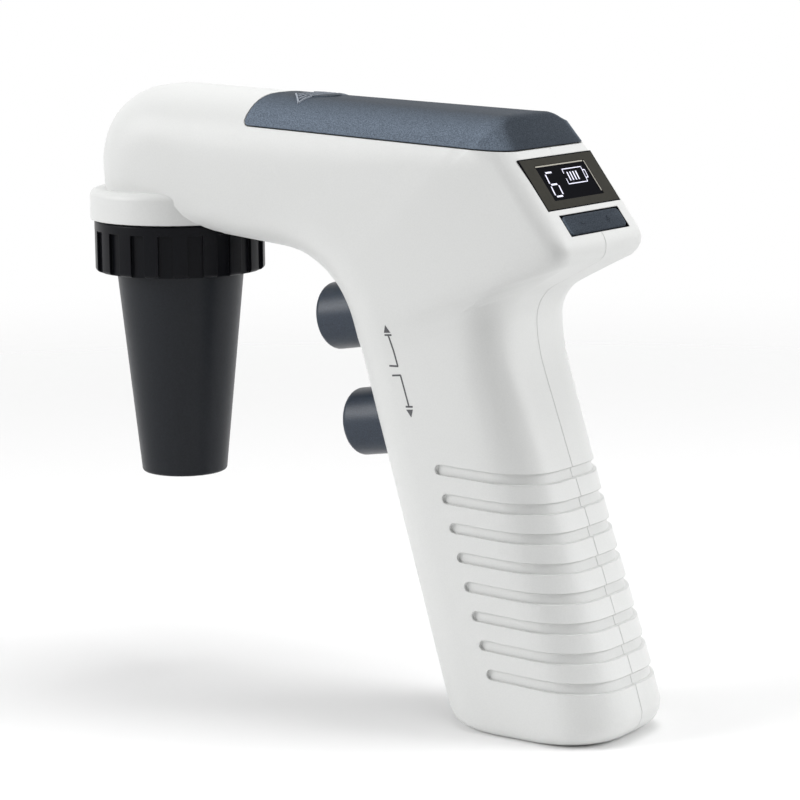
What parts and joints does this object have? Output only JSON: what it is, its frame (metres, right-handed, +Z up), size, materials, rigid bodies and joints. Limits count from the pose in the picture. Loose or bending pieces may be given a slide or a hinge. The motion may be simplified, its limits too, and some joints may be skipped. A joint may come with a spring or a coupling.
{
  "type": "electronic pipette",
  "caption": "Pistol-grip electronic pipette controller with two finger triggers, tilted display, speed rocker, sliding battery cover and a screw-on fluted nosepiece.",
  "frame": {"origin": "middle of the bounding box in X and Y, at the level of the handle's foot", "axes": "+Z up along the nosepiece's axis, +X from the nosepiece towards the display, +Y towards the right shell, which holds the screws"},
  "size_m": [0.1556, 0.044, 0.1454],
  "materials": {
    "shell": "fine satin moulded plastic, warm light grey-white",
    "slate": "fine-grained dark blue-grey plastic",
    "nose": "satin near-black plastic",
    "glass": "glossy dark display window",
    "silicone": "matt soft silicone",
    "filter": "white filter disc",
    "board": "green solder resist",
    "plastic": "black moulded plastic",
    "cell": "blue battery sleeve",
    "steel": "bright steel",
    "brass": "turned brass",
    "tubing": "milky silicone tubing"
  },
  "bodies": {
    "housing": {"left_shell": "shell", "right_shell": "shell", "display_window": "glass", "display_module": "plastic", "display_board": "board", "minus_switch": "plastic", "plus_switch": "plastic", "rocker_pin": "steel", "aspirate_seal": "silicone", "aspirate_switch": "plastic", "aspirate_spring": "steel", "dispense_seal": "silicone", "dispense_switch": "plastic", "dispense_spring": "steel", "valve_block": "plastic", "nose_spigot": "plastic", "spigot_o_ring": "silicone", "nose_tube": "tubing", "pressure_tube": "tubing", "suction_tube": "tubing", "pump_motor": "steel", "motor_cushion": "silicone", "pump_bracket": "plastic", "pump_head": "plastic", "battery_tray": "plastic", "battery_pack": "cell", "battery_connector": "plastic", "control_board": "board", "shell_screw_1": "steel", "shell_screw_2": "steel", "shell_screw_3": "steel", "shell_screw_4": "steel", "charging_socket": "plastic"},
    "aspirate_button": {"aspirate_trigger": "slate", "aspirate_stem": "brass"},
    "dispense_button": {"dispense_trigger": "slate", "dispense_stem": "brass"},
    "rocker": {"speed_rocker": "slate"},
    "cover": {"battery_cover": "slate"},
    "adapter": {"pipette_adapter": "silicone", "membrane_filter": "filter"},
    "nose": {"nosepiece": "nose"},
    "rotor": {"pump_rotor": "brass"}
  },
  "joints": [
    {"name": "aspirate_press", "type": "slide", "parent": "housing", "child": "aspirate_button", "axis": [0.9877, 0, 0.1564], "range_m": [0, 0.005], "stiffness_N_per_m": 500, "springref_m": -0.002, "deforming": ["aspirate_spring"]},
    {"name": "dispense_press", "type": "slide", "parent": "housing", "child": "dispense_button", "axis": [0.9877, 0, 0.1564], "range_m": [0, 0.005], "stiffness_N_per_m": 500, "springref_m": -0.002, "deforming": ["dispense_spring"]},
    {"name": "speed_rock", "type": "hinge", "parent": "housing", "child": "rocker", "pos_m": [0.06175, 0, 0.11475], "axis": [0.6129, 0, -0.7902], "range_deg": [-3, 3], "stiffness_Nm_per_rad": 0.05},
    {"name": "cover_slide", "type": "slide", "parent": "housing", "child": "cover", "axis": [0.9992, 0, -0.0412], "range_m": [0, 0.07]},
    {"name": "adapter_drop", "type": "slide", "parent": "housing", "child": "adapter", "axis": [0, 0, -1], "range_m": [0, 0.006]},
    {"name": "nose_unscrew", "type": "hinge", "parent": "adapter", "child": "nose", "pos_m": [-0.05579, 0, 0.1141], "axis": [0, 0, -1], "range_deg": [0, 720]},
    {"name": "pump_spin", "type": "hinge", "parent": "housing", "child": "rotor", "pos_m": [0.05301, 0, 0.0155], "axis": [-0.3007, 0, 0.9537], "continuous": true}
  ],
  "couplings": [
    {"joint": "adapter_drop", "follows": "nose_unscrew", "m_per_rad": 0.0004774}
  ]
}
